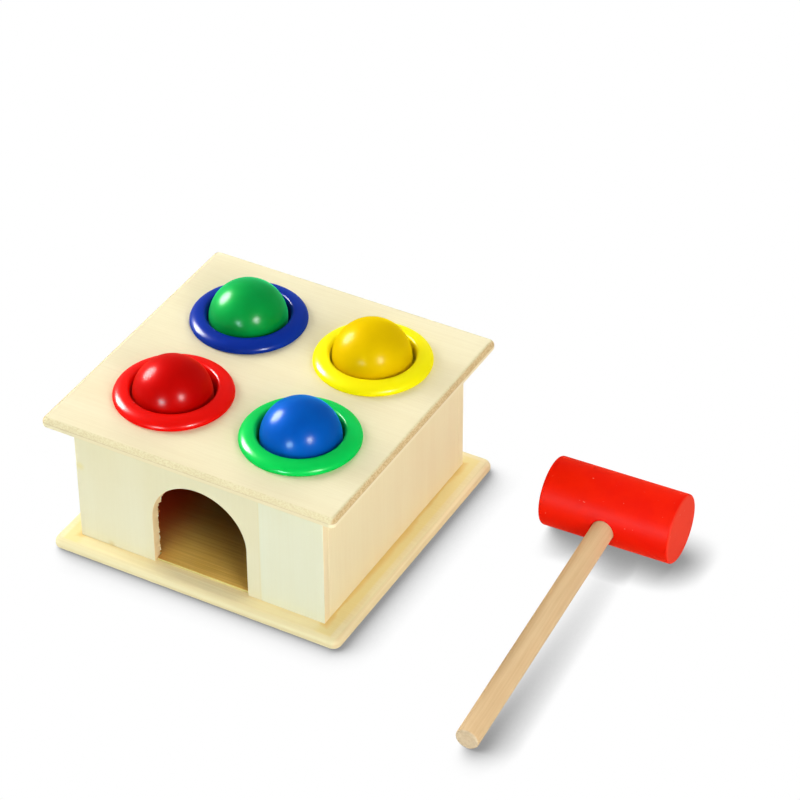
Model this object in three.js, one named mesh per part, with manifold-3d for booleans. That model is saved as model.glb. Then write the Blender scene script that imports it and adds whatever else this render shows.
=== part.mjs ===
// Wooden pounding bench: a small plywood box with four balls held in moulded rings in its top board,
// a ramp inside that lets a ball roll out of the front doorway, and a mallet that lies beside it.
// Millimetres, +Z up. The origin is on the base board's underside, below the middle of the box,
// and the doorway faces -Y.
import * as THREE from "three";
import { mergeVertices } from "three/addons/utils/BufferGeometryUtils.js";
import Module from "manifold-3d";

const wasm = await Module();
wasm.setup();

// Balls. Their centres stand above the top board, each pressed a little further into its ring or less.
const ballRadius = 15;
const ballRise = 1.1;
const ballRiseSpread = 0.9;

// Moulded ring, seen in section: a domed flange, a sleeve through the board and slit fingers below
const borePlay = 1.1;
const flangeWidth = 6.4;
const ringHeight = 4;
const ringRimHeight = 0.8;
const ringFootInset = 0.9;
const ringInnerRound = 1.3;
const sleeveWall = 1.6;
const holeClearance = 0.3;
const barbReach = 1.1;
const barbLength = 1.9;
const barbClearance = 0.3;
const lipDrop = 1.4;
const lipLand = 0.8;
const lipSlopeHeight = 2.2;
const seatGap = 0.6;
const fingerFootHeight = 1.2;
const fingerFootWall = 2.4;
const slitWidth = 1.4;
const slitTopDepth = 1.2;
const fingerCount = 8;

// Spaces between neighbouring rings, and from the rings' barbs to the walls
const ringSpacingX = 8.7;
const ringSpacingY = 8;
const barbWallGapX = 3.05;
const barbWallGapY = 3.7;
const ringsOffsetX = 0.8;
const ringsOffsetY = 1.2;

// Box between the two boards
const wallHeight = 53;
const wallThickness = 3.8;

// Doorway in the front wall
const doorWidth = 40;
const doorSpringHeight = 20.8;

// Top board, and how far it overhangs the box
const topOverhangX = 8.9;
const topOverhangY = 8.3;
const topThickness = 4;
const topCornerRadius = 2.4;
const topUpperRound = 2.2;
const topLowerRound = 0.8;

// Base board, and how far it stands out from the box
const baseLedgeX = 8.9;
const baseLedgeY = 7.7;
const baseThickness = 4.4;
const baseCornerRadius = 3.4;
const baseUpperRound = 2.6;
const baseLowerRound = 1.2;

// Both boards sit this much towards the back of the box
const boardsOffsetY = 0.8;

// Ramp, its lip in the doorway, and the cleat under its high end
const rampThickness = 3;
const rampLipThickness = 1;
const rampLipSetback = 1.2;
const rampSlope = THREE.MathUtils.degToRad(10);
const rampSideClearance = 0.3;
const cleatWidth = 8;
const glueLine = 0.1;

// Mallet, lying beside the box with its head and the end of its handle on the ground
const headRadius = 13.5;
const headLength = 52.4;
const headEdgeRound = 1;
const handleRadius = 4.45;
const handleReach = 128.3;
const handleEndRound = 1;
const socketDepth = 19;
const socketClearance = 0.3;
const malletGap = 33.1;
const malletY = 46.4;
const malletTurn = THREE.MathUtils.degToRad(2.2);

// One overrun for every cutter
const overrun = 2;

// Facets
const ballSegments = 28;
const ringSegments = 32;
const malletSegments = 32;
const roundSteps = 3;
const cornerSteps = 4;
const domeSteps = 5;
const doorSteps = 24;

const quarterTurn = Math.PI / 2;
const halfTurn = Math.PI;
const fullTurn = 2 * Math.PI;

// The rings set the size of the box, and the box that of the boards
const ringBoreRadius = ballRadius + borePlay;
const ringOuterRadius = ringBoreRadius + flangeWidth;
const sleeveRadius = ringBoreRadius + sleeveWall;
const holeRadius = sleeveRadius + holeClearance;
const barbRadius = sleeveRadius + barbReach;
const holePitchX = 2 * ringOuterRadius + ringSpacingX;
const holePitchY = 2 * ringOuterRadius + ringSpacingY;
const innerWidth = holePitchX + 2 * (barbRadius + barbWallGapX);
const innerDepth = holePitchY + 2 * (barbRadius + barbWallGapY);
const boxWidth = innerWidth + 2 * wallThickness;
const boxDepth = innerDepth + 2 * wallThickness;
const baseWidth = boxWidth + 2 * baseLedgeX;
const baseDepth = boxDepth + 2 * baseLedgeY;
const topWidth = boxWidth + 2 * topOverhangX;
const topDepth = boxDepth + 2 * topOverhangY;

// Heights that the pieces share
const baseTop = baseThickness;
const topUnderside = baseTop + wallHeight;
const topSurface = topUnderside + topThickness;

// Finishes
const plywoodLight = new THREE.MeshStandardMaterial({ color: 0xf1e6c4, roughness: 0.7, metalness: 0 });
const plywoodWarm = new THREE.MeshStandardMaterial({ color: 0xe6d0a0, roughness: 0.7, metalness: 0 });
const beech = new THREE.MeshStandardMaterial({ color: 0xdfc08c, roughness: 0.65, metalness: 0 });
const redLacquer = new THREE.MeshStandardMaterial({ color: 0xe81e08, roughness: 0.4, metalness: 0 });
const ballColors = { red: 0xd20a04, green: 0x00a84c, blue: 0x0668c8, yellow: 0xf2c800 };
const ringColors = { red: 0xf51a08, blue: 0x1a4fc0, green: 0x08cf55, yellow: 0xfce80a };

function glossy(color, roughness) {
  return new THREE.MeshStandardMaterial({ color, roughness, metalness: 0 });
}

// A closed geometry as a solid for cutting and joining
function solidOf(geometry) {
  const bare = geometry.clone();
  bare.deleteAttribute("normal");
  bare.deleteAttribute("uv");
  const merged = mergeVertices(bare);
  return new wasm.Manifold(
    new wasm.Mesh({
      numProp: 3,
      vertProperties: merged.attributes.position.array,
      triVerts: new Uint32Array(merged.index.array),
    }),
  );
}

function geometryOf(solid) {
  const mesh = solid.getMesh();
  const geometry = new THREE.BufferGeometry();
  geometry.setAttribute("position", new THREE.BufferAttribute(new Float32Array(mesh.vertProperties), 3));
  geometry.setIndex(new THREE.BufferAttribute(new Uint32Array(mesh.triVerts), 1));
  geometry.computeVertexNormals();
  return geometry;
}

function cut(geometry, cutters) {
  const solid = cutters.reduce((rest, cutter) => rest.subtract(solidOf(cutter)), solidOf(geometry));
  return geometryOf(solid);
}

// Turns an outline drawn as (y, z) and extruded by width into a piece that runs along X
function alongX(geometry, width) {
  return geometry
    .translate(0, 0, -width / 2)
    .rotateX(quarterTurn)
    .rotateZ(quarterTurn);
}

function named(name, geometry, material) {
  const mesh = new THREE.Mesh(geometry, material);
  mesh.name = name;
  return mesh;
}

// Rectangle with round corners, centred
function roundedRectangle(width, depth, radius) {
  const x = width / 2 - radius;
  const y = depth / 2 - radius;
  const outline = new THREE.Shape();
  [
    [x, y],
    [-x, y],
    [-x, -y],
    [x, -y],
  ].forEach(([cx, cy], corner) => {
    outline.absarc(cx, cy, radius, corner * quarterTurn, (corner + 1) * quarterTurn);
  });
  return outline;
}

// A slab lying flat on z = 0, with its long edges rounded over above and below
function slab(outline, thickness, edgeRound) {
  return new THREE.ExtrudeGeometry(outline, {
    depth: thickness - 2 * edgeRound,
    bevelThickness: edgeRound,
    bevelSize: edgeRound,
    bevelOffset: -edgeRound,
    bevelSegments: roundSteps,
    curveSegments: cornerSteps,
  }).translate(0, 0, edgeRound);
}

// A board lying flat on z = 0, rounded over more along its upper edges than along its lower ones.
// Two slabs of the same outline share it: one has the upper rounding, the other the lower one.
function board(width, depth, thickness, cornerRadius, upperRound, lowerRound) {
  const outline = roundedRectangle(width, depth, cornerRadius);
  const upper = slab(outline, upperRound + thickness, upperRound).translate(0, 0, -upperRound);
  const lower = slab(outline, thickness + lowerRound, lowerRound);
  return geometryOf(solidOf(upper).intersect(solidOf(lower))).translate(0, boardsOffsetY, 0);
}

function baseBoard() {
  return board(baseWidth, baseDepth, baseThickness, baseCornerRadius, baseUpperRound, baseLowerRound);
}

// Where the four holes are, the colours of what sits in them, and how each ball sits in its ring:
// high or low by its share of the spread in height, and leaning by its share of the seat gap
function stations() {
  const left = ringsOffsetX - holePitchX / 2;
  const right = left + holePitchX;
  const front = ringsOffsetY - holePitchY / 2;
  const back = front + holePitchY;
  return [
    { place: "front_left", x: left, y: front, ring: "red", ball: "red", highShare: -1, leanShare: -0.9 },
    { place: "back_left", x: left, y: back, ring: "blue", ball: "green", highShare: 0.4, leanShare: -0.4 },
    { place: "front_right", x: right, y: front, ring: "green", ball: "blue", highShare: -0.1, leanShare: 0.3 },
    { place: "back_right", x: right, y: back, ring: "yellow", ball: "yellow", highShare: 0.8, leanShare: -0.7 },
  ];
}

function topBoard() {
  const holes = stations().map(({ x, y }) =>
    new THREE.CylinderGeometry(holeRadius, holeRadius, topThickness + 2 * overrun, ringSegments)
      .rotateX(quarterTurn)
      .translate(x, y, topThickness / 2),
  );
  return cut(board(topWidth, topDepth, topThickness, topCornerRadius, topUpperRound, topLowerRound), holes);
}

// The front wall's outline, seen from the front, with the doorway open at the bottom
function frontWall() {
  const outline = new THREE.Shape();
  outline.moveTo(-boxWidth / 2, 0);
  outline.lineTo(-doorWidth / 2, 0);
  outline.absarc(0, doorSpringHeight, doorWidth / 2, halfTurn, 0, true);
  outline.lineTo(doorWidth / 2, 0);
  outline.lineTo(boxWidth / 2, 0);
  outline.lineTo(boxWidth / 2, wallHeight);
  outline.lineTo(-boxWidth / 2, wallHeight);
  return new THREE.ExtrudeGeometry(outline, {
    depth: wallThickness,
    bevelEnabled: false,
    curveSegments: doorSteps,
  }).rotateX(quarterTurn);
}

// The ramp in section from the side: its top runs up from the lip,
// and its underside is cut flat to lie on the base
const rampFront = rampLipSetback - boxDepth / 2;
const rampBack = innerDepth / 2 - glueLine;
const rampDrop = rampThickness / Math.cos(rampSlope);

function rampTopAt(y) {
  return rampLipThickness + (y - rampFront) * Math.tan(rampSlope);
}

function rampUndersideAt(y) {
  return rampTopAt(y) - rampDrop;
}

function rampBoard() {
  const width = innerWidth - 2 * rampSideClearance;
  const heel = rampFront + (rampDrop - rampLipThickness) / Math.tan(rampSlope);
  const outline = new THREE.Shape();
  outline.moveTo(rampFront, 0);
  outline.lineTo(heel, 0);
  outline.lineTo(rampBack, rampUndersideAt(rampBack));
  outline.lineTo(rampBack, rampTopAt(rampBack));
  outline.lineTo(rampFront, rampLipThickness);
  const blank = alongX(new THREE.ExtrudeGeometry(outline, { depth: width, bevelEnabled: false }), width);
  // The lip is as wide as the doorway, so both front corners are notched to clear the wall
  const lipWidth = doorWidth - 2 * rampSideClearance;
  const notchWidth = (width - lipWidth) / 2 + overrun;
  const notchBack = rampSideClearance - innerDepth / 2;
  const notchFront = rampFront - overrun;
  const notchHeight = rampTopAt(notchBack) + 2 * overrun;
  const notches = [-1, 1].map((side) =>
    new THREE.BoxGeometry(notchWidth, notchBack - notchFront, notchHeight).translate(
      (side * (lipWidth + notchWidth)) / 2,
      (notchBack + notchFront) / 2,
      notchHeight / 2 - overrun,
    ),
  );
  return cut(blank, notches);
}

// A batten across the back wall, planed to the ramp's slope
function rampCleat() {
  const front = innerDepth / 2 - cleatWidth;
  const back = innerDepth / 2;
  const outline = new THREE.Shape();
  outline.moveTo(front, rampUndersideAt(front) - glueLine - cleatWidth);
  outline.lineTo(back, rampUndersideAt(front) - glueLine - cleatWidth);
  outline.lineTo(back, rampUndersideAt(back) - glueLine);
  outline.lineTo(front, rampUndersideAt(front) - glueLine);
  const width = innerWidth - 2 * rampSideClearance;
  return alongX(new THREE.ExtrudeGeometry(outline, { depth: width, bevelEnabled: false }), width);
}

// Points of a quarter ellipse about (cx, cy), from one angle to another
function arcPoints(cx, cy, rx, ry, from, to, steps) {
  return Array.from({ length: steps + 1 }, (_, i) => {
    const angle = from + ((to - from) * i) / steps;
    return new THREE.Vector2(cx + rx * Math.cos(angle), cy + ry * Math.sin(angle));
  });
}

// The ring in section, with height 0 at the top board's surface. It goes round the section once:
// up the outside of the flange, over the dome, down the bore to the lip, and back up outside the fingers.
// The lips meet the ball below its middle, so they spring out further round a ball that is pressed deeper.
function ringSection(rise) {
  const crestRadius = ringBoreRadius + ringInnerRound;
  const lipTop = -topThickness - lipDrop;
  const lipRadius = Math.sqrt((ballRadius + seatGap) ** 2 - (rise - lipTop) ** 2);
  const lipBottom = lipTop - lipLand;
  const foot = lipBottom - fingerFootHeight;
  const barbTop = -topThickness - barbClearance;
  return [
    ...arcPoints(
      ringOuterRadius - ringFootInset,
      ringRimHeight,
      ringFootInset,
      ringRimHeight,
      -quarterTurn,
      0,
      roundSteps,
    ),
    ...arcPoints(
      crestRadius,
      ringRimHeight,
      ringOuterRadius - crestRadius,
      ringHeight - ringRimHeight,
      0,
      quarterTurn,
      domeSteps,
    ).slice(1),
    ...arcPoints(
      crestRadius,
      ringHeight - ringInnerRound,
      ringInnerRound,
      ringInnerRound,
      quarterTurn,
      halfTurn,
      roundSteps,
    ).slice(1),
    new THREE.Vector2(ringBoreRadius, lipTop + lipSlopeHeight),
    new THREE.Vector2(lipRadius, lipTop),
    new THREE.Vector2(lipRadius, lipBottom),
    new THREE.Vector2(sleeveRadius - fingerFootWall, foot),
    new THREE.Vector2(sleeveRadius, foot),
    new THREE.Vector2(sleeveRadius, barbTop - barbLength),
    new THREE.Vector2(sleeveRadius + barbReach, barbTop),
    new THREE.Vector2(sleeveRadius, barbTop),
    new THREE.Vector2(sleeveRadius, 0),
    new THREE.Vector2(ringOuterRadius - ringFootInset, 0),
  ];
}

// A ring turned from its section, with its sleeve slit into springy fingers
function ring(rise) {
  const section = ringSection(rise);
  const turned = new THREE.LatheGeometry(section, ringSegments).rotateX(quarterTurn);
  const foot = Math.min(...section.map((point) => point.y));
  const slitBottom = foot - overrun;
  const slits = Array.from({ length: fingerCount / 2 }, (_, i) =>
    new THREE.BoxGeometry(2 * ringOuterRadius, slitWidth, -slitTopDepth - slitBottom)
      .translate(0, 0, (slitBottom - slitTopDepth) / 2)
      .rotateZ(((i + 1 / 2) * fullTurn) / fingerCount),
  );
  return cut(turned, slits);
}

function ball() {
  return new THREE.SphereGeometry(ballRadius, ballSegments, ballSegments / 2).rotateX(quarterTurn);
}

// A turned bar about the Y axis, from y = from to y = to, its ends rounded over
function turnedBar(radius, from, to, edgeRound) {
  const section = [
    new THREE.Vector2(0, from),
    ...arcPoints(radius - edgeRound, from + edgeRound, edgeRound, edgeRound, -quarterTurn, 0, roundSteps),
    ...arcPoints(radius - edgeRound, to - edgeRound, edgeRound, edgeRound, 0, quarterTurn, roundSteps),
    new THREE.Vector2(0, to),
  ];
  return new THREE.LatheGeometry(section, malletSegments);
}

// The head lies along X, with a blind socket for the handle in its -Y side
function malletHead() {
  const blank = turnedBar(headRadius, -headLength / 2, headLength / 2, headEdgeRound).rotateZ(quarterTurn);
  const socketEnd = socketDepth - headRadius;
  const socketLength = socketDepth + overrun;
  const socketRadius = handleRadius + socketClearance;
  const socket = new THREE.CylinderGeometry(socketRadius, socketRadius, socketLength, malletSegments);
  socket.translate(0, socketEnd - socketLength / 2, 0);
  return cut(blank, [socket]);
}

function malletHandle() {
  const socketEnd = socketDepth - headRadius;
  return turnedBar(handleRadius, -handleReach, socketEnd - socketClearance, handleEndRound);
}

// The handle slopes down so that the round of its end touches the ground
function handleSlope() {
  const reach = handleReach - handleEndRound;
  const rise = handleRadius - handleEndRound;
  return Math.asin((headRadius - handleEndRound) / Math.hypot(reach, rise)) - Math.atan2(rise, reach);
}

function box() {
  const group = new THREE.Group();
  group.add(named("base_board", baseBoard(), plywoodWarm));

  const front = named("front_wall", frontWall(), plywoodLight);
  front.position.set(0, wallThickness - boxDepth / 2, baseTop);
  group.add(front);

  const backGeometry = new THREE.BoxGeometry(boxWidth, wallThickness, wallHeight);
  const back = named("back_wall", backGeometry, plywoodLight);
  back.position.set(0, (boxDepth - wallThickness) / 2, baseTop + wallHeight / 2);
  group.add(back);

  [
    ["left_wall", -1],
    ["right_wall", 1],
  ].forEach(([name, side]) => {
    const wall = named(name, new THREE.BoxGeometry(wallThickness, innerDepth, wallHeight), plywoodWarm);
    wall.position.set((side * (boxWidth - wallThickness)) / 2, 0, baseTop + wallHeight / 2);
    group.add(wall);
  });

  const ramp = named("ramp_board", rampBoard(), plywoodWarm);
  ramp.position.set(0, 0, baseTop);
  group.add(ramp);

  const cleat = named("ramp_cleat", rampCleat(), beech);
  cleat.position.set(0, 0, baseTop);
  group.add(cleat);

  const top = named("top_board", topBoard(), plywoodLight);
  top.position.set(0, 0, topUnderside);
  group.add(top);
  return group;
}

function ringsAndBalls() {
  const group = new THREE.Group();
  stations().forEach((station) => {
    const { place, x, y } = station;
    const rise = ballRise + station.highShare * ballRiseSpread;
    const ringMaterial = glossy(ringColors[station.ring], 0.3);
    const ringMesh = named(`ring_${place}_${station.ring}`, ring(rise), ringMaterial);
    ringMesh.position.set(x, y, topSurface);
    const ballMaterial = glossy(ballColors[station.ball], 0.22);
    const ballMesh = named(`ball_${place}_${station.ball}`, ball(), ballMaterial);
    ballMesh.position.set(x + station.leanShare * seatGap, y, topSurface + rise);
    group.add(ringMesh, ballMesh);
  });
  return group;
}

function mallet() {
  const group = new THREE.Group();
  group.add(named("mallet_head", malletHead(), redLacquer));
  group.add(named("mallet_handle", malletHandle(), beech));
  const malletX = baseWidth / 2 + malletGap + headLength / 2;
  group.position.set(malletX, malletY, headRadius);
  group.rotation.set(handleSlope(), 0, malletTurn, "ZYX");
  return group;
}

const bench = new THREE.Group();
bench.add(box(), ringsAndBalls(), mallet());

export default bench;
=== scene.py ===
# Wooden pounding bench: a plywood box with four painted balls held in moulded rings,
# a ramp behind the doorway, and a turned mallet lying beside it.
# Pieces are drawn in millimetres and become metres when they are finished. The doorway faces -Y.
import math

import bmesh
import bpy
from mathutils import Euler, Matrix, Vector, noise


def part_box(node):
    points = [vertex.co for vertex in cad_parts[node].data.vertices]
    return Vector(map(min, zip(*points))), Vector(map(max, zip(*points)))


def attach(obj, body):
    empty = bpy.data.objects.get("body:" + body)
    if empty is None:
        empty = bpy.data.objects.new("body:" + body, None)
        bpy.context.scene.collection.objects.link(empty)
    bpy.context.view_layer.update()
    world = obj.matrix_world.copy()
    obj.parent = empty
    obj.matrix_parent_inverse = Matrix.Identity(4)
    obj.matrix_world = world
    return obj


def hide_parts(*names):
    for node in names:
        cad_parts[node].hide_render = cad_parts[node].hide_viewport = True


MM = 0.001
X, Y, Z = range(3)

# How close two points or levels are that count as one, in millimetres
SAME_POINT = 1e-4
SAME_LEVEL = 0.01

# Edges that turn by more than this many degrees are sharp
SHARP = 35

# Faces from these areas up, in square millimetres, stay flat beside their rounded edges
BROAD_FACE = 1000.0
WALL_END_FACE = 150.0
FLAT_MARGIN = 0.25

# Boards and walls
LID_CORNER = 2.4
LID_UPPER_ROUND = 2.2
LID_LOWER_ROUND = 0.8
BASE_CORNER = 3.4
BASE_UPPER_ROUND = 2.6
BASE_LOWER_ROUND = 1.2
CORNER_STEPS = 12
UPPER_STEPS = 10
LOWER_STEPS = 6
HOLE_STEPS = 96
WALL_EASE = 0.35
BOX_HALF_WIDTH = 52.5
BOX_HALF_DEPTH = 52.8
INNER_HALF_WIDTH = 48.8
INNER_HALF_DEPTH = 49.05

# Doorway, and the torn fibres along it, as shares of noises with so many waves a millimetre
DOOR_WIDTH = 40.0
DOOR_SPRING = 20.8
DOOR_STEPS = 96
JAMB_CUTS = 44
TEAR_OUT = 1.2
TEAR_FOOT = 3.0
TEAR_MARGIN = 1.0
TEAR_DEPTH = 0.2
TEAR_NOISE = ((0.5, 0.3), (1.2, 2.9))

# Ramp, and its cleat with some spare height to cut to the slope
RAMP_THICKNESS = 3.0
RAMP_LIP = 1.0
RAMP_SLOPE = math.radians(10)
RAMP_NORMAL = Vector((0, -math.sin(RAMP_SLOPE), math.cos(RAMP_SLOPE)))
RAMP_LIP_WIDTH = 39.4
RAMP_NOTCH_BACK = 2.9
RAMP_EASE = 0.2
CLEAT_SPARE = 1.0
GLUE_LINE = 0.1

# Balls
BALL_RADIUS = 15.0
BALL_WAVER = 0.02
BALL_WAVES = 0.16
BALL_STEPS = 128

# Moulded rings, in section, with heights from the lid they lie on
BORE_RADIUS = 16.1
RING_RADIUS = 22.5
RING_HEIGHT = 4.0
RIM_HEIGHT = 0.8
FOOT_INSET = 0.9
INNER_ROUND = 1.3
SLEEVE_RADIUS = 17.7
HOLE_RADIUS = 18.0
BARB_REACH = 1.1
BARB_LENGTH = 1.9
BARB_TOP = -4.3
LIP_TOP = -5.4
LIP_LAND = 0.8
LIP_SLOPE = 2.2
SEAT_GAP = 0.6
FOOT_HEIGHT = 1.2
FOOT_WALL = 2.4
SLIT_TOP = -1.2
FINGERS = 8
RING_STEPS = 160
SLIT_STEPS = 2
FOOT_STEPS = 6
DOME_STEPS = 20
INNER_STEPS = 8
RING_SHARP = 40

# Mallet, about the middle of its head
HEAD_RADIUS = 13.5
HEAD_LENGTH = 52.4
HEAD_ROUND = 1.0
HEAD_SHARP = 50
HANDLE_RADIUS = 4.45
HANDLE_REACH = 128.3
HANDLE_ROUND = 1.0
SOCKET_DEPTH = 19.0
SOCKET_GAP = 0.3
BAR_STEPS = 128
BAR_END_STEPS = 8
BAR_MARGIN = 0.4
MALLET_PLACE = Vector((120.7, 46.4, HEAD_RADIUS))
MALLET_TURN = math.radians(2.2)

# What sits in each hole: its place, the ring's colour and the ball's colour
STATIONS = (
    ("front_left", "red", "red"),
    ("back_left", "blue", "green"),
    ("front_right", "green", "blue"),
    ("back_right", "yellow", "yellow"),
)

# Plies of the lid: the heights of its two glue lines
LOWER_GLUE = 59.4
UPPER_GLUE = 61.32

# Front wall: where its two veneers meet, and spots of glue with their x, height, radius and colour
VENEER_JOINT = 25.6
GLUE_SPOTS = (
    (-50.7, 37.8, 2.6, (236, 226, 150)),
    (-39.0, 5.1, 2.4, (226, 208, 140)),
)

# Wood: how much longer than wide its fibres and bands are, and how dull it is
FIBRE_LENGTH = 45
BAND_LENGTH = 14
WOOD_SPECULAR = 0.03
WOOD_ROUGHNESS = (0.85, 0.7)

# Paint and plastic
SHEEN_ROUGHNESS = 0.35

# Sockets of a node that mixes two colours
MIX_AMOUNT, MIX_A, MIX_B, MIX_RESULT = 0, 6, 7, 2

# Studio
LAMP_DISTANCE = 1000.0
LAMP_TARGET = Vector((0, 0, 60))
EVEN_LIGHT = 0.38
FLOOR_HALF = 4000.0
FLOOR_DROP = 0.2
FLOOR_COLOUR = (0.8, 0.8, 0.8, 1.0)
WHITE = (1, 1, 1, 1)

# The floor's shade: where it looks for things close by, and how openness becomes light
SHADE_LEAN = (-0.88, 0.36, 0.25)
SHADE_REACH = 15.0
SHADE_SAMPLES = 24
SHADE_LIGHT = (0.5, 0.92, 0.3, 1.0)

# The photograph's view, its place in metres
SENSOR_WIDTH = 36.0
FOCAL_LENGTH = 142.996
NEAREST = 0.05
VIEW_PLACE = (0.496107, -0.791202, 0.766377)
VIEW_AHEAD = Vector((-0.38679, 0.69293, -0.60847))
VIEW_ROLL = -0.00438


def corners(node):
    """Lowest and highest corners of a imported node, in millimetres."""
    low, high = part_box(node)
    return low / MM, high / MM


# Shaping


def flat_at(item, level):
    """Whether an edge or a face lies flat at a level."""
    return all(abs(vert.co.z - level) < SAME_LEVEL for vert in item.verts)


def thicken(bm, by):
    """Extrudes every face by one vector, and keeps the faces it started from."""
    made = bmesh.ops.extrude_face_region(bm, geom=bm.faces[:])["geom"]
    verts = [item for item in made if isinstance(item, bmesh.types.BMVert)]
    bmesh.ops.translate(bm, vec=by, verts=verts)


def outline(bm, points):
    """Joins points into one closed outline and fills it."""
    verts = [bm.verts.new(point) for point in points]
    edges = [bm.edges.new((a, b)) for a, b in zip(verts, verts[1:] + verts[:1])]
    bmesh.ops.edgeloop_fill(bm, edges=edges)


def round_over(bm, edges, radius, segments):
    bmesh.ops.bevel(
        bm, geom=edges, offset=radius, segments=segments, profile=0.5, affect="EDGES", material=-1
    )


def ease(bm, radius, segments=3, sharper_than=0.6):
    """Rounds over each edge that turns by more than an angle, in radians."""
    bm.normal_update()
    edges = [
        edge for edge in bm.edges if edge.is_manifold and edge.calc_face_angle() > sharper_than
    ]
    round_over(bm, edges, radius, segments)


def keep_flat(bm, smallest=BROAD_FACE):
    """Insets the large faces a little, so that a rounded edge's shading stops at their rim."""
    bm.normal_update()
    for face in [face for face in bm.faces if face.calc_area() > smallest]:
        bmesh.ops.inset_region(
            bm, faces=[face], thickness=FLAT_MARGIN, use_even_offset=True, use_boundary=True
        )


def slice_off(bm, point, normal):
    """Cuts away what lies beyond a plane, and closes the cut."""
    geometry = bm.verts[:] + bm.edges[:] + bm.faces[:]
    cut = bmesh.ops.bisect_plane(
        bm, geom=geometry, dist=SAME_POINT, plane_co=point, plane_no=normal, clear_outer=True
    )["geom_cut"]
    rim = [item for item in cut if isinstance(item, bmesh.types.BMEdge)]
    bmesh.ops.edgeloop_fill(bm, edges=rim)


def block(low, high):
    """A plain rectangular block between two corners."""
    bm = bmesh.new()
    bmesh.ops.create_cube(bm, size=1)
    bmesh.ops.scale(bm, vec=high - low, verts=bm.verts)
    bmesh.ops.translate(bm, vec=(low + high) / 2, verts=bm.verts)
    return bm


def arc(centre, radii, start, end, steps):
    """Points of an elliptical arc in section, as radius and height."""
    (x, z), (wide, high) = centre, radii
    angles = [start + (end - start) * step / steps for step in range(steps + 1)]
    return [(x + wide * math.cos(angle), z + high * math.sin(angle)) for angle in angles]


def turn(section, steps, closed):
    """Turns a section, given as radius and height, about the Z axis."""
    bm = bmesh.new()
    verts = [bm.verts.new((radius, 0, height)) for radius, height in section]
    pairs = list(zip(verts, verts[1:] + verts[:1] if closed else verts[1:]))
    for pair in pairs:
        bm.edges.new(pair)
    bmesh.ops.spin(
        bm,
        geom=bm.verts[:] + bm.edges[:],
        axis=(0, 0, 1),
        cent=(0, 0, 0),
        angle=math.tau,
        steps=steps,
        use_merge=True,
    )
    bmesh.ops.remove_doubles(bm, verts=bm.verts, dist=SAME_POINT)
    return bm


def finish_mesh(name, bm, sharp=SHARP):
    """Closes a drawing into an object in metres, smooth but for its sharp edges."""
    bmesh.ops.recalc_face_normals(bm, faces=bm.faces)
    bmesh.ops.scale(bm, vec=(MM, MM, MM), verts=bm.verts)
    mesh = bpy.data.meshes.new(name)
    bm.to_mesh(mesh)
    bm.free()
    mesh.shade_smooth()
    mesh.set_sharp_from_angle(angle=math.radians(sharp))
    made = bpy.data.objects.new(name, mesh)
    bpy.context.scene.collection.objects.link(made)
    return made


def fit(made, finish, body, node):
    """Gives a piece its finish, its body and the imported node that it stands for."""
    made.data.materials.append(finish)
    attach(made, body)
    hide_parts(node)
    return made


# Box


def rounded_board(low, high, corner, upper, lower):
    """A board lying flat, with round corners, its upper edges rounded over more than its lower."""
    size = high - low
    middle = (low + high) / 2
    bm = bmesh.new()
    bmesh.ops.create_grid(bm, x_segments=1, y_segments=1, size=0.5)
    bmesh.ops.scale(bm, vec=(size.x, size.y, 1), verts=bm.verts)
    bmesh.ops.translate(bm, vec=(middle.x, middle.y, low.z), verts=bm.verts)
    bmesh.ops.bevel(
        bm,
        geom=bm.verts[:],
        offset=corner,
        segments=CORNER_STEPS,
        profile=0.5,
        affect="VERTICES",
        material=-1,
    )
    thicken(bm, (0, 0, size.z))
    for level, radius, segments in ((high.z, upper, UPPER_STEPS), (low.z, lower, LOWER_STEPS)):
        round_over(bm, [edge for edge in bm.edges if flat_at(edge, level)], radius, segments)
    keep_flat(bm)
    return bm


def bore(bm, centres, levels):
    """Bores round holes through a board, whose flat faces lie at two levels."""
    rims = []
    for level in levels:
        flat = [face for face in bm.faces if flat_at(face, level)]
        cap = max(flat, key=lambda face: face.calc_area())
        edges = cap.edges[:]
        bmesh.ops.delete(bm, geom=[cap], context="FACES_ONLY")
        circles = []
        for x, y in centres:
            place = Matrix.Translation((x, y, level))
            circle = bmesh.ops.create_circle(
                bm, segments=HOLE_STEPS, radius=HOLE_RADIUS, matrix=place
            )["verts"]
            circles.append(list({edge for vert in circle for edge in vert.link_edges}))
        edges += sum(circles, [])
        bmesh.ops.triangle_fill(bm, edges=edges, use_beauty=True, normal=(0, 0, 1))
        rims.append(circles)
    for below, above in zip(*rims):
        bmesh.ops.bridge_loops(bm, edges=below + above)


def ring_centre(place, colour):
    low, high = corners(f"ring_{place}_{colour}")
    return (low + high) / 2


def lid(finish):
    low, high = corners("top_board")
    bm = rounded_board(low, high, LID_CORNER, LID_UPPER_ROUND, LID_LOWER_ROUND)
    centres = [ring_centre(place, ring).to_2d() for place, ring, _ in STATIONS]
    bore(bm, centres, (low.z, high.z))
    return fit(finish_mesh("lid", bm), finish, "bench", "top_board")


def base(finish):
    low, high = corners("base_board")
    bm = rounded_board(low, high, BASE_CORNER, BASE_UPPER_ROUND, BASE_LOWER_ROUND)
    return fit(finish_mesh("base", bm), finish, "bench", "base_board")


def tear(bm, low, high):
    """Tears the fibres a little along the inner edge of the doorway."""
    reach = DOOR_WIDTH / 2 + TEAR_MARGIN
    foot = low.z + TEAR_FOOT
    top = low.z + DOOR_SPRING + reach
    inner = high.y - WALL_EASE - TEAR_DEPTH
    for vert in bm.verts:
        if abs(vert.co.x) < reach and foot < vert.co.z < top and vert.co.y > inner:
            torn = sum(share * noise.noise(vert.co * waves) for share, waves in TEAR_NOISE)
            vert.co.x += math.copysign(TEAR_OUT * max(torn, 0), -vert.co.x)


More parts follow.
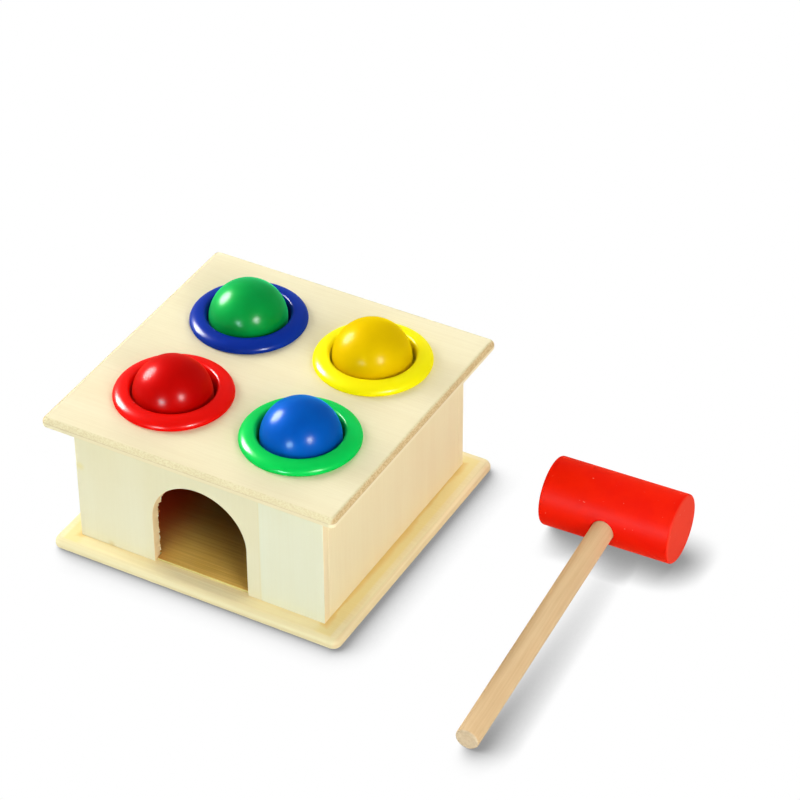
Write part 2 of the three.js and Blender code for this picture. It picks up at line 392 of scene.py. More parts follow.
def doorway_wall(finish):
    low, high = corners("front_wall")
    half = DOOR_WIDTH / 2
    spring = low.z + DOOR_SPRING
    bm = bmesh.new()
    first = bm.verts.new((-half, low.y, spring))
    bmesh.ops.spin(
        bm, geom=[first], axis=(0, 1, 0), cent=(0, low.y, spring), angle=math.pi, steps=DOOR_STEPS
    )
    left, right = sorted((v for v in bm.verts if len(v.link_edges) == 1), key=lambda v: v.co.x)
    path = [
        (-half, low.z),
        (low.x, low.z),
        (low.x, high.z),
        (high.x, high.z),
        (high.x, low.z),
        (half, low.z),
    ]
    chain = [left, *[bm.verts.new((x, low.y, z)) for x, z in path], right]
    sides = [bm.edges.new(pair) for pair in zip(chain, chain[1:])]
    bmesh.ops.subdivide_edges(bm, edges=[sides[0], sides[-1]], cuts=JAMB_CUTS)
    bmesh.ops.edgeloop_fill(bm, edges=bm.edges[:])
    thicken(bm, (0, high.y - low.y, 0))
    ease(bm, WALL_EASE)
    keep_flat(bm)
    tear(bm, low, high)
    return fit(finish_mesh("doorway_wall", bm), finish, "bench", "front_wall")


def plain_wall(name, node, finish):
    low, high = corners(node)
    bm = block(low, high)
    ease(bm, WALL_EASE)
    keep_flat(bm, WALL_END_FACE)
    return fit(finish_mesh(name, bm), finish, "bench", node)


def ramp(finish):
    low, high = corners("ramp_board")
    lip = RAMP_LIP_WIDTH / 2
    notch = low.y + RAMP_NOTCH_BACK
    bm = bmesh.new()
    plan = [
        (-lip, low.y),
        (lip, low.y),
        (lip, notch),
        (high.x, notch),
        (high.x, high.y),
        (low.x, high.y),
        (low.x, notch),
        (-lip, notch),
    ]
    outline(bm, [(x, y, low.z) for x, y in plan])
    thicken(bm, (0, 0, 2 * (high.z - low.z)))
    top = Vector((0, low.y, low.z + RAMP_LIP))
    slice_off(bm, top, RAMP_NORMAL)
    slice_off(bm, top - RAMP_THICKNESS * RAMP_NORMAL, -RAMP_NORMAL)
    ease(bm, RAMP_EASE, segments=2, sharper_than=1)
    keep_flat(bm)
    return fit(finish_mesh("ramp", bm), finish, "bench", "ramp_board")


def cleat(finish):
    low, high = corners("ramp_cleat")
    ramp_low, _ = corners("ramp_board")
    bm = block(low, high + Vector((0, 0, CLEAT_SPARE)))
    top = Vector((0, ramp_low.y, ramp_low.z + RAMP_LIP - GLUE_LINE))
    slice_off(bm, top - RAMP_THICKNESS * RAMP_NORMAL, RAMP_NORMAL)
    ease(bm, RAMP_EASE, segments=2)
    return fit(finish_mesh("ramp_cleat_batten", bm), finish, "bench", "ramp_cleat")


# Rings and balls


def ring_section(rise):
    """Once round the ring: under the flange, over the dome, down the bore, up outside the fingers.
    The lips meet the ball below its middle: a ball that stands lower springs them further out."""
    crest = BORE_RADIUS + INNER_ROUND
    foot_edge = RING_RADIUS - FOOT_INSET
    lip_radius = math.sqrt((BALL_RADIUS + SEAT_GAP) ** 2 - (rise - LIP_TOP) ** 2)
    lip_bottom = LIP_TOP - LIP_LAND
    foot = lip_bottom - FOOT_HEIGHT
    quarter = math.pi / 2
    dome = (RING_RADIUS - crest, RING_HEIGHT - RIM_HEIGHT)
    shoulder = (crest, RING_HEIGHT - INNER_ROUND)
    inner = (INNER_ROUND, INNER_ROUND)
    return [
        *arc((foot_edge, RIM_HEIGHT), (FOOT_INSET, RIM_HEIGHT), -quarter, 0, FOOT_STEPS),
        *arc((crest, RIM_HEIGHT), dome, 0, quarter, DOME_STEPS)[1:],
        *arc(shoulder, inner, quarter, math.pi, INNER_STEPS)[1:],
        (BORE_RADIUS, SLIT_TOP),
        (BORE_RADIUS, LIP_TOP + LIP_SLOPE),
        (lip_radius, LIP_TOP),
        (lip_radius, lip_bottom),
        (SLEEVE_RADIUS - FOOT_WALL, foot),
        (SLEEVE_RADIUS, foot),
        (SLEEVE_RADIUS, BARB_TOP - BARB_LENGTH),
        (SLEEVE_RADIUS + BARB_REACH, BARB_TOP),
        (SLEEVE_RADIUS, BARB_TOP),
        (SLEEVE_RADIUS, SLIT_TOP),
        (SLEEVE_RADIUS, 0),
    ]


def slit(bm):
    """Slits the sleeve into fingers: a few steps of each sector go, and the cuts are closed."""
    sector = math.tau / FINGERS
    width = SLIT_STEPS * math.tau / RING_STEPS
    gone = []
    for face in bm.faces:
        middle = face.calc_center_median()
        if middle.z < SLIT_TOP - SAME_LEVEL and math.atan2(middle.y, middle.x) % sector < width:
            gone.append(face)
    bmesh.ops.delete(bm, geom=gone, context="FACES")
    roofs = [[] for _ in range(FINGERS)]
    for edge in bm.edges:
        if edge.is_boundary and flat_at(edge, SLIT_TOP):
            middle = (edge.verts[0].co + edge.verts[1].co) / 2
            roofs[int(math.atan2(middle.y, middle.x) % math.tau / sector)].append(edge)
    for roof in roofs:
        bmesh.ops.bridge_loops(bm, edges=roof)
    open_edges = [edge for edge in bm.edges if edge.is_boundary]
    bmesh.ops.holes_fill(bm, edges=open_edges, sides=0)


def moulded_ring(place, colour, ball_colour, finish):
    surface = corners("top_board")[1].z
    ball_low, ball_high = corners(f"ball_{place}_{ball_colour}")
    rise = (ball_low.z + ball_high.z) / 2 - surface
    centre = ring_centre(place, colour)
    bm = turn(ring_section(rise), RING_STEPS, closed=True)
    slit(bm)
    # The slits start on the X axis as turned, and stand midway between the axes on the ring
    phase = math.pi / FINGERS - SLIT_STEPS * math.pi / RING_STEPS
    bmesh.ops.rotate(bm, cent=(0, 0, 0), matrix=Matrix.Rotation(phase, 3, "Z"), verts=bm.verts)
    bmesh.ops.translate(bm, vec=(centre.x, centre.y, surface), verts=bm.verts)
    made = finish_mesh(f"ring_{colour}", bm, RING_SHARP)
    return fit(made, finish, "bench", f"ring_{place}_{colour}")


def painted_ball(place, colour, finish):
    """A turned ball, true to a few hundredths under its paint."""
    low, high = corners(f"ball_{place}_{colour}")
    bm = bmesh.new()
    bmesh.ops.create_uvsphere(
        bm, u_segments=BALL_STEPS, v_segments=BALL_STEPS // 2, radius=BALL_RADIUS
    )
    for vert in bm.verts:
        waver = 0.5 + 0.5 * noise.noise(vert.co * BALL_WAVES + low)
        vert.co *= 1 - BALL_WAVER * waver / BALL_RADIUS
    bmesh.ops.translate(bm, vec=(low + high) / 2, verts=bm.verts)
    made = finish_mesh(f"ball_{colour}", bm)
    return fit(made, finish, f"{colour}_ball", f"ball_{place}_{colour}")


# Mallet


def mallet_slope():
    """The handle slopes down until the round of its end touches the ground."""
    reach = HANDLE_REACH - HANDLE_ROUND
    rise = HANDLE_RADIUS - HANDLE_ROUND
    drop = HEAD_RADIUS - HANDLE_ROUND
    return math.asin(drop / math.hypot(reach, rise)) - math.atan2(rise, reach)


def mallet_matrix():
    turned = Euler((mallet_slope(), 0, MALLET_TURN), "XYZ").to_matrix().to_4x4()
    return Matrix.Translation(MALLET_PLACE) @ turned


def turned_bar(radius, start, end, rounding, across):
    """A bar along X or Y with its ends rounded over, turned about its own axis."""
    quarter = math.pi / 2
    bend = (rounding, rounding)
    flat = radius - rounding
    section = [
        (0, start),
        (flat - BAR_MARGIN, start),
        *arc((flat, start + rounding), bend, -quarter, 0, BAR_END_STEPS),
        (radius, start + rounding + BAR_MARGIN),
        (radius, end - rounding - BAR_MARGIN),
        *arc((flat, end - rounding), bend, 0, quarter, BAR_END_STEPS),
        (flat - BAR_MARGIN, end),
        (0, end),
    ]
    bm = turn(section, BAR_STEPS, closed=False)
    lay = Matrix.Rotation(quarter, 4, "Y") if across else Matrix.Rotation(-quarter, 4, "X")
    bmesh.ops.transform(bm, matrix=mallet_matrix() @ lay, verts=bm.verts)
    return bm


def carve(made, cutter):
    """Cuts one mesh with another, and throws the cutter away."""
    cut = made.modifiers.new("cut", "BOOLEAN")
    cut.operation = "DIFFERENCE"
    cut.solver = "EXACT"
    cut.object = cutter
    graph = bpy.context.evaluated_depsgraph_get()
    carved = bpy.data.meshes.new_from_object(made.evaluated_get(graph))
    made.modifiers.clear()
    made.data = carved
    bpy.data.objects.remove(cutter)


def mallet_head(finish):
    half = HEAD_LENGTH / 2
    bar = turned_bar(HEAD_RADIUS, -half, half, HEAD_ROUND, True)
    made = finish_mesh("mallet_head_turned", bar, HEAD_SHARP)
    socket_radius = HANDLE_RADIUS + SOCKET_GAP
    socket_end = SOCKET_DEPTH - HEAD_RADIUS
    drill = turned_bar(socket_radius, -2 * HEAD_RADIUS, socket_end, HANDLE_ROUND, False)
    carve(made, finish_mesh("drill", drill))
    made.data.set_sharp_from_angle(angle=math.radians(HEAD_SHARP))
    return fit(made, finish, "mallet", "mallet_head")


def mallet_handle(finish):
    end = SOCKET_DEPTH - HEAD_RADIUS - SOCKET_GAP
    bm = turned_bar(HANDLE_RADIUS, -HANDLE_REACH, end, HANDLE_ROUND, False)
    return fit(finish_mesh("mallet_handle_turned", bm), finish, "mallet", "mallet_handle")


# Finishes


def paint(red, green, blue):
    """A colour as it is seen, 0 to 255 a channel, in the shader's linear terms."""

    def linear(level):
        return ((level / 255 + 0.055) / 1.055) ** 2.4 if level > 10 else level / 3294.6

    return (linear(red), linear(green), linear(blue), 1.0)


def preset(node, values):
    """Sets inputs of a node that are the same all over."""
    for name, value in values.items():
        node.inputs[name].default_value = value


class Finish:
    """A finish being mixed from patterns in the piece's own space, in metres."""

    def __init__(self, name):
        self.material = bpy.data.materials.new(name)
        self.material.use_nodes = True
        self.tree = self.material.node_tree
        self.shader = self.tree.nodes["Principled BSDF"]
        space = self.tree.nodes.new("ShaderNodeTexCoord")
        self.place = space.outputs["Object"]
        self.facing = space.outputs["Normal"]

    def feed(self, socket, value):
        if isinstance(value, bpy.types.NodeSocket):
            self.tree.links.new(value, socket)
        else:
            socket.default_value = value

    def node(self, kind, *values, result=0, **settings):
        """Adds a node, sets it, and feeds its first inputs in order."""
        made = self.tree.nodes.new("ShaderNode" + kind)
        for name, value in settings.items():
            setattr(made, name, value)
        for socket, value in zip(made.inputs, values):
            if value is not None:
                self.feed(socket, value)
        return made.outputs[result]

    def maths(self, operation, a, b=0.0):
        return self.node("Math", a, b, operation=operation)

    def share(self, value, at_one, at_zero=0.0):
        """A pattern from 0 to 1 given other values at its two ends."""
        return self.node("Math", value, at_one - at_zero, at_zero, operation="MULTIPLY_ADD")

    def part(self, vector, axis):
        """One axis of a vector."""
        return self.node("SeparateXYZ", vector, result=axis)

    def off(self, vector, axis):
        """How far one axis of a vector is from 0, either way."""
        return self.maths("ABSOLUTE", self.part(vector, axis))

    def step(self, value, low, high):
        """0 below low, 1 above high, smooth between."""
        made = self.tree.nodes.new("ShaderNodeMapRange")
        made.interpolation_type = "SMOOTHSTEP"
        self.feed(made.inputs["Value"], value)
        preset(made, {"From Min": low, "From Max": high})
        return made.outputs["Result"]

    def fade(self, value, low, high):
        """1 below low, 0 above high, smooth between."""
        return self.step(value, high, low)

    def along(self, axis, start, end):
        """0 at one place along an axis, 1 at another, smooth between. Places in millimetres."""
        return self.step(self.part(self.place, axis), start * MM, end * MM)

    def band(self, axis, middle, half, soft):
        """1 within half a width of a place along an axis, with soft ends, in millimetres."""
        rising = self.along(axis, middle - half - soft, middle - half + soft)
        falling = self.along(axis, middle + half - soft, middle + half + soft)
        return self.maths("SUBTRACT", rising, falling)

    def beyond(self, half_width, half_depth):
        """How far a place lies outside an upright box about the origin."""
        beside = self.maths("SUBTRACT", self.off(self.place, X), half_width * MM)
        before = self.maths("SUBTRACT", self.off(self.place, Y), half_depth * MM)
        return self.maths("MAXIMUM", beside, before)

    def mix(self, amount, a, b):
        """Colour a where amount is 0, colour b where it is 1."""
        made = self.tree.nodes.new("ShaderNodeMix")
        made.data_type = "RGBA"
        self.feed(made.inputs[MIX_AMOUNT], amount)
        self.feed(made.inputs[MIX_A], a)
        self.feed(made.inputs[MIX_B], b)
        return made.outputs[MIX_RESULT]

    def tinge(self, colour, pattern, strength, other):
        """Lays a share of another colour over one, where a pattern is 1."""
        return self.mix(self.maths("MULTIPLY", pattern, strength), colour, other)

    def cloud(self, cells, detail=2.0, shift=0.0):
        """Soft noise, 0 to 1, with so many cells a metre, given for all axes or for each."""
        cells = (cells, cells, cells) if isinstance(cells, float) else cells
        spot = self.node("Mapping", self.place, (shift, shift, shift), None, cells)
        made = self.tree.nodes.new("ShaderNodeTexNoise")
        self.feed(made.inputs["Vector"], spot)
        preset(made, {"Scale": 1.0, "Detail": detail})
        return made.outputs[0]

    def patches(self, cells, detail=2.0, shift=0.0, soft=0.2):
        """Noise drawn apart towards 0 and 1, and less so the softer it is."""
        return self.step(self.cloud(cells, detail, shift), 0.5 - soft, 0.5 + soft)

    def grain(self, axis, fine, slow, shift):
        """Fibres and slow bands that run along an axis, each 0 to 1."""
        fibre_cells = [fine] * 3
        band_cells = [slow] * 3
        fibre_cells[axis] = fine / FIBRE_LENGTH
        band_cells[axis] = slow / BAND_LENGTH
        fibres = self.patches(fibre_cells, detail=3.0, shift=shift)
        bands = self.patches(band_cells, shift=shift + 3.0)
        return fibres, bands

    def spot(self, centre, radius):
        """1 at a point given in millimetres, falling to 0 at a radius."""
        offset = self.node("VectorMath", self.place, Vector(centre) * MM, operation="SUBTRACT")
        distance = self.node("VectorMath", offset, operation="LENGTH", result=1)
        return self.fade(distance, 0.0, radius * MM)

    def complete(self, colour, roughness, height, depth):
        """Feeds the shader. Depth is how deep the bump goes, in millimetres."""
        self.feed(self.shader.inputs["Base Color"], colour)
        self.feed(self.shader.inputs["Roughness"], roughness)
        bump = self.tree.nodes.new("ShaderNodeBump")
        preset(bump, {"Distance": depth * MM})
        self.feed(bump.inputs["Height"], height)
        self.feed(self.shader.inputs["Normal"], bump.outputs["Normal"])
        return self.material


def wood(look, axis, tones, shift, fine, slow, streaks=0.08):
    """Bare wood: slow bands and a soft mottle between two tones, and fine streaks of a third."""
    light, dark, streak = tones
    fibres, bands = look.grain(axis, fine, slow, shift)
    mottle = look.patches(24.0, detail=3.0, shift=shift + 7.0)
    figure = look.maths("MULTIPLY", look.maths("ADD", bands, mottle), 0.5)
    return look.mix(look.share(fibres, streaks), look.mix(figure, light, dark), streak), fibres


def sanded(look, colour, relief, depth=0.03):
    """Sanded bare wood, a little rougher along its fibres."""
    preset(look.shader, {"Specular IOR Level": WOOD_SPECULAR})
    return look.complete(colour, look.share(relief, *WOOD_ROUGHNESS), relief, depth)


def lid_finish():
    """The top ply shows on the flat, the core along the rounding, and the lower ply under it."""
    look = Finish("lid_plywood")
    tones = paint(250, 241, 204), paint(245, 233, 193), paint(220, 200, 154)
    face, fibres = wood(look, X, tones, shift=0.0, fine=1900.0, slow=60.0, streaks=0.12)
    end = look.step(look.off(look.facing, X), 0.3, 0.7)
    flecks = look.patches((1300.0, 1300.0, 2600.0), shift=2.0, soft=0.15)
    long_core = look.mix(flecks, paint(243, 234, 192), paint(232, 219, 172))
    end_core = look.mix(flecks, paint(236, 210, 158), paint(216, 184, 130))
    core = look.mix(end, long_core, end_core)
    lower = look.mix(end, paint(245, 236, 196), paint(250, 236, 196))
    above = look.along(Z, LOWER_GLUE - 0.1, LOWER_GLUE + 0.1)
    glue = look.band(Z, LOWER_GLUE, half=0.15, soft=0.12)
    side = look.tinge(look.mix(above, lower, core), glue, 0.45, paint(206, 184, 134))
    top = look.along(Z, UPPER_GLUE - 0.04, UPPER_GLUE + 0.04)
    relief = look.maths("ADD", fibres, flecks)
    return sanded(look, look.mix(top, side, face), relief, depth=0.005)


def base_finish():
    """Warmer plywood, pale along its rounded rim. Glue is wiped along the foot of the walls,
    mostly at the sides, and a ragged bead of it is left against them."""
    look = Finish("base_plywood")
    tones = paint(251, 240, 199), paint(246, 230, 182), paint(218, 191, 136)
    face, fibres = wood(look, X, tones, shift=11.0, fine=1500.0, slow=55.0, streaks=0.14)
    lines = look.patches((9.0, 9.0, 1100.0), shift=4.0, soft=0.15)
    long_rim = look.mix(lines, paint(246, 237, 192), paint(238, 225, 175))
    end_rim = look.mix(lines, paint(248, 230, 184), paint(240, 218, 168))
    rim = look.mix(look.step(look.part(look.facing, X), 0.2, 0.7), long_rim, end_rim)
    colour = look.mix(look.step(look.part(look.facing, Z), 0.9, 0.99), rim, face)
    sides = look.step(
        look.off(look.place, X), (BOX_HALF_WIDTH - 3.0) * MM, BOX_HALF_WIDTH * MM
    )
    strength = look.share(sides, at_one=0.75, at_zero=0.2)
    away = look.beyond(BOX_HALF_WIDTH, BOX_HALF_DEPTH)
    wiped = look.fade(away, 4.4 * MM, 5.6 * MM)
    colour = look.tinge(colour, wiped, strength, paint(244, 225, 154))
    ragged = look.patches(70.0, detail=3.0, shift=21.0)
    width = look.share(ragged, at_one=2.4 * MM, at_zero=0.6 * MM)
    bead = look.fade(look.maths("DIVIDE", away, width), 0.2, 1.4)
    return sanded(look, look.tinge(colour, bead, strength, paint(238, 202, 124)), fibres)


def glued_foot(look, colour, glue, strength):
    """A ragged line of glue along the foot of a wall."""
    ragged = look.cloud((130.0, 130.0, 10.0), shift=51.0)
    reach = look.share(ragged, at_one=1.8 * MM, at_zero=4.2 * MM)
    above = look.maths("SUBTRACT", look.part(look.place, Z), reach)
    return look.tinge(colour, look.fade(above, -0.3 * MM, 0.4 * MM), strength, glue)


def painted_inside_shade(look, colour):
    """Paints shade on the faces that look into the box: painted shade in brown, darker and redder
    towards the lid on the left, where painted red light thrown by the red ball lies in the painted
    shade.
    """
    inside = look.fade(look.beyond(INNER_HALF_WIDTH, INNER_HALF_DEPTH), 0.05 * MM, 0.2 * MM)
    # Painted red light thrown by the red ball, in deeper painted shade, high on the left inside
    # the box
    red = look.maths("MULTIPLY", look.along(Z, 12.0, 46.0), look.along(X, 10.0, -20.0))
    return look.mix(inside, colour, look.mix(red, paint(180, 116, 42), paint(146, 50, 12)))


def doorway_finish():
    """Two widths of veneer meet to the right of the doorway. Its cut edge is browner."""
    look = Finish("doorway_plywood")
    streak = paint(228, 222, 176)
    tones = paint(242, 240, 209), paint(238, 233, 195), streak
    left, fibres = wood(look, Z, tones, shift=21.0, fine=1500.0, slow=60.0)
    tones = paint(240, 243, 217), paint(237, 239, 210), streak
    right, _ = wood(look, Z, tones, shift=27.0, fine=1500.0, slow=95.0)
    colour = look.mix(look.along(X, VENEER_JOINT - 1.0, VENEER_JOINT + 1.0), left, right)
    joint = look.band(X, VENEER_JOINT, half=0.3, soft=0.3)
    colour = look.tinge(colour, joint, 0.4, paint(236, 226, 170))
    for x, height, radius, tone in GLUE_SPOTS:
        spot = look.spot((x, -BOX_HALF_DEPTH, height), radius)
        colour = look.tinge(colour, spot, 0.6, paint(*tone))
    colour = glued_foot(look, colour, paint(240, 232, 180), strength=0.6)
    cut = look.fade(look.off(look.facing, Y), 0.3, 0.8)
    outer = look.step(look.off(look.place, X), 51.5 * MM, 51.9 * MM)
    edge = look.mix(outer, paint(243, 216, 164), paint(246, 228, 184))
    # The faces inside the box get painted shade, and painted red light high on the left
    return sanded(look, painted_inside_shade(look, look.mix(cut, colour, edge)), fibres)


def side_finish():
    look = Finish("side_plywood")
    tones = paint(248, 235, 192), paint(245, 229, 184), paint(226, 197, 146)
    colour, fibres = wood(look, Z, tones, shift=33.0, fine=1500.0, slow=95.0, streaks=0.06)
    colour = glued_foot(look, colour, paint(236, 202, 130), strength=0.8)
    # The faces inside the box get painted shade, and painted red light high on the left
    return sanded(look, painted_inside_shade(look, colour), fibres)


def ramp_finish():
    """Left bare inside: painted shade makes it darker and browner towards the back, painted red
    light thrown by the red ball makes it redder on the left, and it is pale at its lip.
    """
    look = Finish("ramp_plywood")
    tones = paint(246, 206, 108), paint(228, 182, 84), paint(158, 112, 48)
    colour, fibres = wood(look, X, tones, shift=41.0, fine=1300.0, slow=80.0, streaks=0.25)
    # Painted shade, darker and browner towards the back of the box
    colour = look.tinge(colour, look.along(Y, -50.0, -24.0), 0.9, paint(114, 72, 14))
    # Painted red light thrown by the red ball, with painted shade, towards the left
    colour = look.tinge(colour, look.along(X, -10.0, -32.0), 0.9, paint(168, 44, 4))
    lip = look.fade(look.part(look.facing, Y), -0.8, -0.5)
    return sanded(look, look.mix(lip, colour, paint(226, 216, 142)), fibres, depth=0.04)


def mallet_space(look):
    """The mallet's own space, with its handle along -Y."""
    turned = (mallet_slope(), 0, MALLET_TURN)
    return look.node("Mapping", look.place, MALLET_PLACE * MM, turned, vector_type="TEXTURE")


def beech(look, shift):
    tones = paint(240, 210, 164), paint(230, 194, 145), paint(200, 158, 106)
    return wood(look, Y, tones, shift, fine=1300.0, slow=240.0, streaks=0.2)


def handle_finish():
    """Beech along the handle, and darker rings on its end."""
    look = Finish("handle_beech")
    look.place = mallet_space(look)
    colour, fibres = beech(look, shift=51.0)
    end = look.along(Y, 0.8 - HANDLE_REACH, 0.2 - HANDLE_REACH)
    rings = look.patches((700.0, 40.0, 700.0), shift=6.0, soft=0.15)
    colour = look.mix(end, colour, look.mix(rings, paint(222, 202, 168), paint(214, 192, 156)))
    return sanded(look, colour, fibres, depth=0.01)


def batten_finish():
    look = Finish("batten_beech")
    colour, fibres = beech(look, shift=57.0)
    return sanded(look, colour, fibres, depth=0.04)


def coat(look, sheen, glow, flake, weight, roughness):
    """A thin clear coat over paint that glows in its own colour, broadly with a little flake."""
    preset(
        look.shader,
        {
            "Specular IOR Level": 0.0,
            "Metallic": flake,
            "Sheen Weight": glow,
            "Sheen Roughness": SHEEN_ROUGHNESS,
            "Sheen Tint": sheen,
            "Coat Weight": weight,
            "Coat Roughness": roughness,
        },
    )


def lacquer_finish():
    """Satin paint over a turned head, paler and pinker on the ends, with a few pale specks of
    dust.
    """
    look = Finish("mallet_red_lacquer")
    look.place = mallet_space(look)
    fibres, _ = look.grain(X, fine=1100.0, slow=150.0, shift=61.0)
    mottle = look.patches(90.0, detail=3.0, shift=8.0)
    colour = look.mix(mottle, paint(252, 30, 0), paint(246, 22, 0))
    ends = look.step(look.off(look.place, X), 25.5 * MM, 26.1 * MM)
    colour = look.mix(ends, colour, paint(255, 66, 46))
    specks = look.step(look.cloud(620.0, detail=1.0, shift=17.0), 0.74, 0.8)
    colour = look.tinge(colour, specks, 0.35, paint(255, 170, 150))
    coat(look, paint(255, 120, 90), glow=0.6, flake=0.0, weight=0.05, roughness=0.45)
    roughness = look.share(mottle, at_one=0.5, at_zero=0.42)
    return look.complete(colour, roughness, look.maths("ADD", fibres, mottle), depth=0.02)


def gloss(name, colours, mottling, glow, peel, depth):
    """A glossy coloured skin: a slow change of tone, a broad glow, and a fine orange peel."""
    look = Finish(name)
    colour, deep, sheen, flake, weight = colours
    mottle = look.patches(mottling, detail=3.0, shift=9.0, soft=0.25)
    coat(look, sheen, glow, flake, weight, roughness=0.22)
    roughness = look.share(mottle, at_one=0.7, at_zero=0.6)
    skin = look.cloud(peel, shift=2.0)
    return look.complete(look.mix(mottle, colour, deep), roughness, skin, depth)


# Two tones, the tint of the glow, the share of flake and the weight of the clear coat
BALL_COLOURS = {
    "red": (paint(189, 3, 1), paint(180, 2, 0), paint(255, 60, 40), 0.055, 0.07),
    "green": (paint(0, 142, 60), paint(0, 134, 52), paint(60, 255, 160), 0.11, 0.12),
    "blue": (paint(0, 83, 174), paint(0, 75, 164), paint(30, 160, 255), 0.08, 0.085),
    "yellow": (paint(229, 192, 0), paint(221, 183, 0), paint(255, 230, 0), 0.03, 0.04),
}
RING_COLOURS = {
    "red": (paint(240, 10, 0), paint(232, 6, 0), paint(255, 70, 60), 0.02, 0.17),
    "blue": (paint(0, 46, 156), paint(0, 40, 146), paint(60, 140, 255), 0.03, 0.17),
    "green": (paint(0, 208, 86), paint(0, 198, 78), paint(80, 255, 170), 0.03, 0.17),
    "yellow": (paint(255, 246, 8), paint(254, 240, 2), paint(255, 245, 80), 0.03, 0.17),
}


# Studio


def lamp(name, direction, size, radiance, gleam=False, colour=(1, 1, 1)):
    """An oval lamp a metre away, of an even radiance, where 1 is the white of the backdrop.
    A gleam shows only in glossy surfaces. Any other lamp lights everything but shows in none."""
    light = bpy.data.lights.new(name, "AREA")
    light.shape = "ELLIPSE"
    light.size, light.size_y = size[0] * MM, size[1] * MM
    light.energy = math.pi * light.size * light.size_y * radiance
    light.color = colour
    made = bpy.data.objects.new(name, light)
    bpy.context.scene.collection.objects.link(made)
    made.visible_camera = False
    made.visible_diffuse = not gleam
    made.visible_glossy = gleam
    place = LAMP_TARGET + Vector(direction).normalized() * LAMP_DISTANCE
    made.location = place * MM
    made.rotation_mode = "QUATERNION"
    made.rotation_quaternion = (LAMP_TARGET - place).to_track_quat("-Z", "Y")


def lamps():
    left = (-0.889, 0.02, 0.457)
    back = (-0.15, 0.88, 0.45)
    front = (0.017, -0.984, 0.185)
    right = (0.777, -0.494, 0.392)
    lamp("left_key", left, (520, 680), radiance=6.4)
    lamp("back_fill", back, (500, 500), radiance=5)
    lamp("front_fill", front, (500, 500), radiance=1.7)
    lamp("right_fill", right, (500, 500), radiance=5.8)
    lamp("left_gleam", left, (460, 520), radiance=125, gleam=True)
    lamp("front_gleam", front, (260, 260), radiance=130, gleam=True, colour=(0.6, 0.95, 1.0))
    lamp("right_gleam", right, (250, 250), radiance=140, gleam=True)


def shown(tree):
    """1 for the rays that show the backdrop: the camera's, and those of glossy or clear things."""
    path = tree.nodes.new("ShaderNodeLightPath")
    seen = path.outputs["Is Camera Ray"]
    for name in ("Is Glossy Ray", "Is Transmission Ray"):
        either = tree.nodes.new("ShaderNodeMath")
        either.operation = "MAXIMUM"
        tree.links.new(seen, either.inputs[0])
        tree.links.new(path.outputs[name], either.inputs[1])
        seen = either.outputs[0]
    return seen


def surround():
    """Even light all round, and a white backdrop."""
    world = bpy.data.worlds.new("surround")
    bpy.context.scene.world = world
    world.use_nodes = True
    tree = world.node_tree
    background = tree.nodes["Background"]
    strength = tree.nodes.new("ShaderNodeMapRange")
    preset(strength, {"To Min": EVEN_LIGHT, "To Max": 1.0})
    preset(background, {"Color": WHITE})
    tree.links.new(shown(tree), strength.inputs["Value"])
    tree.links.new(strength.outputs["Result"], background.inputs["Strength"])


def ground():
    """A white floor, shaded close by on the side away from the light."""
    bm = bmesh.new()
    bmesh.ops.create_grid(bm, x_segments=1, y_segments=1, size=FLOOR_HALF)
    bmesh.ops.translate(bm, vec=(0, 0, -FLOOR_DROP), verts=bm.verts)
    floor = finish_mesh("ground", bm)
    material = bpy.data.materials.new("ground_white")
    material.use_nodes = True
    tree = material.node_tree
    tree.nodes.remove(tree.nodes["Principled BSDF"])
    paper = tree.nodes.new("ShaderNodeBsdfDiffuse")
    preset(paper, {"Color": FLOOR_COLOUR})
    lean = tree.nodes.new("ShaderNodeCombineXYZ")
    preset(lean, dict(zip("XYZ", SHADE_LEAN)))
    shade = tree.nodes.new("ShaderNodeAmbientOcclusion")
    shade.samples = SHADE_SAMPLES
    preset(shade, {"Distance": SHADE_REACH * MM})
    tree.links.new(lean.outputs[0], shade.inputs["Normal"])
    light = tree.nodes.new("ShaderNodeMapRange")
    preset(light, dict(zip(("From Min", "From Max", "To Min", "To Max"), SHADE_LIGHT)))
    tree.links.new(shade.outputs["AO"], light.inputs["Value"])
    glow = tree.nodes.new("ShaderNodeEmission")
    tree.links.new(light.outputs["Result"], glow.inputs["Strength"])
    either = tree.nodes.new("ShaderNodeMixShader")
    tree.links.new(shown(tree), either.inputs[0])
    tree.links.new(paper.outputs[0], either.inputs[1])
    tree.links.new(glow.outputs[0], either.inputs[2])
    tree.links.new(either.outputs[0], tree.nodes["Material Output"].inputs["Surface"])
    floor.data.materials.append(material)


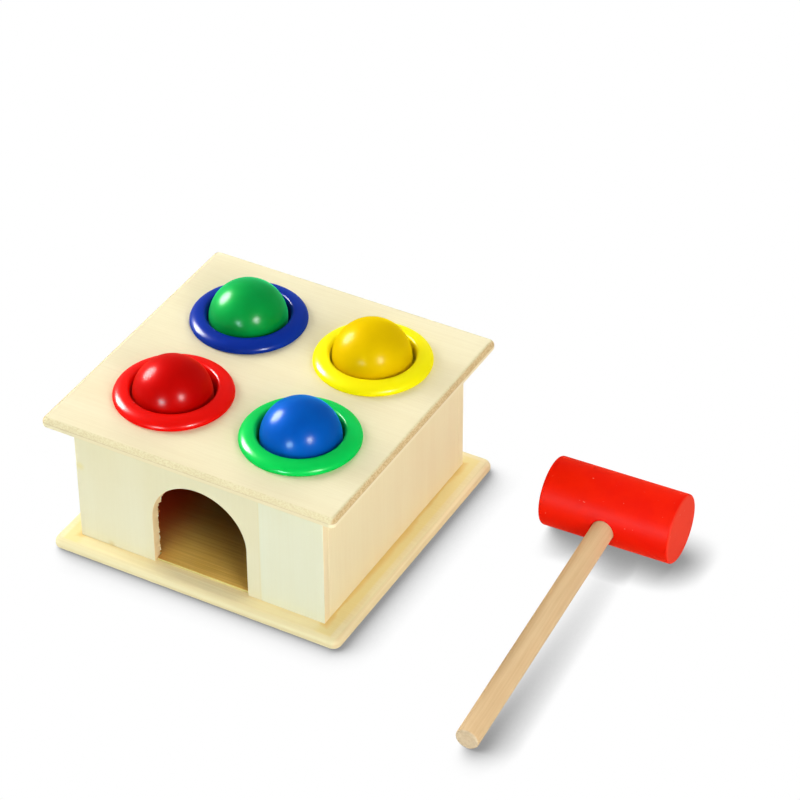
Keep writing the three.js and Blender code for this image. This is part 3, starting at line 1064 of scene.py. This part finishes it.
def camera():
    """The photograph's view, from the front right and above."""
    lens = bpy.data.cameras.new("view")
    lens.sensor_width = SENSOR_WIDTH
    lens.lens = FOCAL_LENGTH
    lens.clip_start = NEAREST
    made = bpy.data.objects.new("view", lens)
    bpy.context.scene.collection.objects.link(made)
    ahead = VIEW_AHEAD.normalized()
    right = ahead.cross(Vector((0, 0, 1))).normalized()
    up = right.cross(ahead)
    roll = Matrix.Rotation(VIEW_ROLL, 3, -ahead)
    axes = Matrix((roll @ right, roll @ up, -ahead)).transposed()
    made.matrix_world = Matrix.Translation(VIEW_PLACE) @ axes.to_4x4()
    bpy.context.scene.camera = made


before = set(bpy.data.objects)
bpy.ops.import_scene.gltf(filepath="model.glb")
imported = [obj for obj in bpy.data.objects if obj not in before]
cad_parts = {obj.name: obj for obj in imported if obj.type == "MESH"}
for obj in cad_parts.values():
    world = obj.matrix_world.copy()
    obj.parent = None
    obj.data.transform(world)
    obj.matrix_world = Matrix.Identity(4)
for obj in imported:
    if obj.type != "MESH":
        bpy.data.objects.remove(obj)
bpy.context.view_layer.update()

camera()
lamps()
surround()
ground()

side_ply = side_finish()
lid(lid_finish())
base(base_finish())
doorway_wall(doorway_finish())
plain_wall("rear_wall", "back_wall", side_ply)
plain_wall("side_wall_left", "left_wall", side_ply)
plain_wall("side_wall_right", "right_wall", side_ply)
ramp(ramp_finish())
cleat(batten_finish())
for place, ring_colour, ball_colour in STATIONS:
    name = f"ring_{ring_colour}_plastic"
    colours = RING_COLOURS[ring_colour]
    plastic = gloss(name, colours, mottling=60.0, glow=0.3, peel=500.0, depth=0.002)
    moulded_ring(place, ring_colour, ball_colour, plastic)
    name = f"ball_{ball_colour}_paint"
    colours = BALL_COLOURS[ball_colour]
    enamel = gloss(name, colours, mottling=80.0, glow=1.0, peel=900.0, depth=0.003)
    painted_ball(place, ball_colour, enamel)
mallet_head(lacquer_finish())
mallet_handle(handle_finish())

scene = bpy.context.scene
scene.view_settings.view_transform = "Standard"
